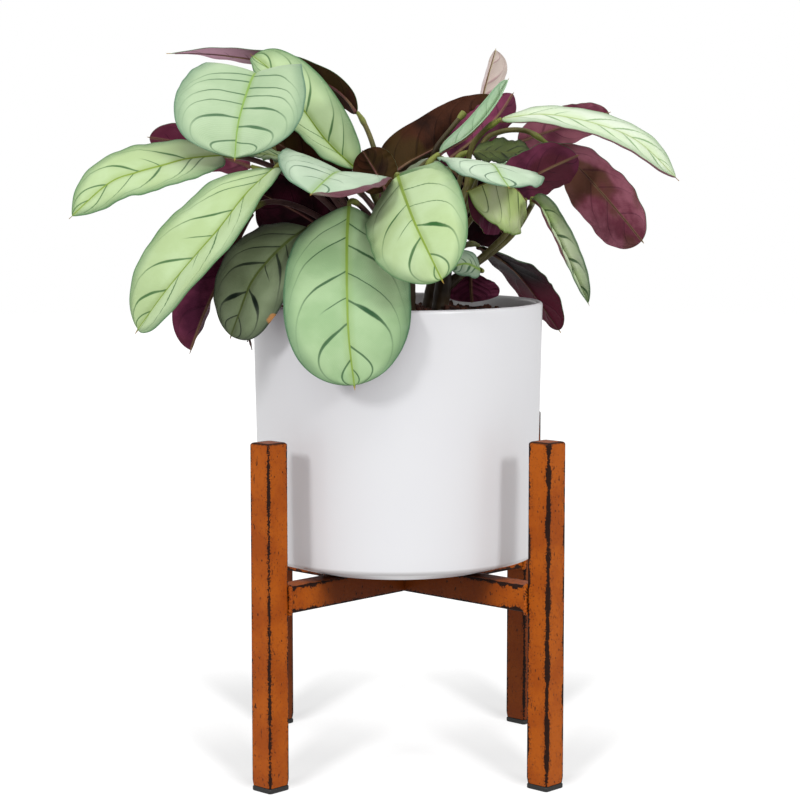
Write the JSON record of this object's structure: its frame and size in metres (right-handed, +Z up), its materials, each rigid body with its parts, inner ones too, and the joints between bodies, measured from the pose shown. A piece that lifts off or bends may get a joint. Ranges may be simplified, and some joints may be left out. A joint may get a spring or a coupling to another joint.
{
  "type": "potted prayer plant",
  "caption": "Potted prayer plant with broad feather-patterned leaves and plum undersides, in a white cylindrical pot on a low stand of orange painted square tube.",
  "frame": {"origin": "middle of the whole object's box, at the surface that the stand's feet rest on", "axes": "+Z up, and -Y towards the viewer of the side with the broad hanging leaf, with +X to its right"},
  "size_m": [0.3666, 0.2886, 0.444],
  "materials": {
    "leaf_green": "satin",
    "leaf_plum": "satin",
    "stalk": "satin",
    "soil": "matte",
    "pot_glaze": "gloss",
    "stand_paint": "satin",
    "foot_plastic": "matte"
  },
  "bodies": {
    "root": {"beam_half_left": "stand_paint", "beam_half_right": "stand_paint", "beam_through": "stand_paint", "foot_back_left": "foot_plastic", "foot_back_right": "foot_plastic", "foot_front_left": "foot_plastic", "foot_front_right": "foot_plastic", "leaf_back_centre": "leaf_green", "leaf_back_left": "leaf_green", "leaf_back_low": "leaf_green", "leaf_back_right": "leaf_green", "leaf_centre_dark": "leaf_plum", "leaf_centre_small": "leaf_plum", "leaf_centre_umber": "leaf_plum", "leaf_far_left": "leaf_green", "leaf_far_right": "leaf_plum", "leaf_folded_plum": "leaf_plum", "leaf_front_broad": "leaf_green", "leaf_front_centre": "leaf_green", "leaf_front_level": "leaf_green", "leaf_left_long": "leaf_green", "leaf_left_plum": "leaf_plum", "leaf_left_shaded": "leaf_green", "leaf_left_sliver": "leaf_green", "leaf_left_tucked": "leaf_plum", "leaf_low": "leaf_plum", "leaf_narrow_green": "leaf_green", "leaf_new_spear": "leaf_plum", "leaf_right_hanging": "leaf_green", "leaf_right_level": "leaf_green", "leaf_right_long": "leaf_green", "leaf_right_plum": "leaf_plum", "leaf_right_shaded": "leaf_green", "leaf_right_vivid": "leaf_plum", "leaf_rim": "leaf_plum", "leaf_round": "leaf_green", "leaf_round_back": "leaf_plum", "leaf_small_grey": "leaf_green", "leaf_top_green": "leaf_green", "leaf_top_left": "leaf_green", "leaf_top_plum": "leaf_plum", "leaf_under_left": "leaf_plum", "leg_back_left": "stand_paint", "leg_back_right": "stand_paint", "leg_front_left": "stand_paint", "leg_front_right": "stand_paint", "pot": "pot_glaze", "shoot_back": "stalk", "shoot_front": "stalk", "shoot_left": "stalk", "shoot_middle": "stalk", "shoot_right": "stalk", "soil": "soil"}
  },
  "joints": []
}
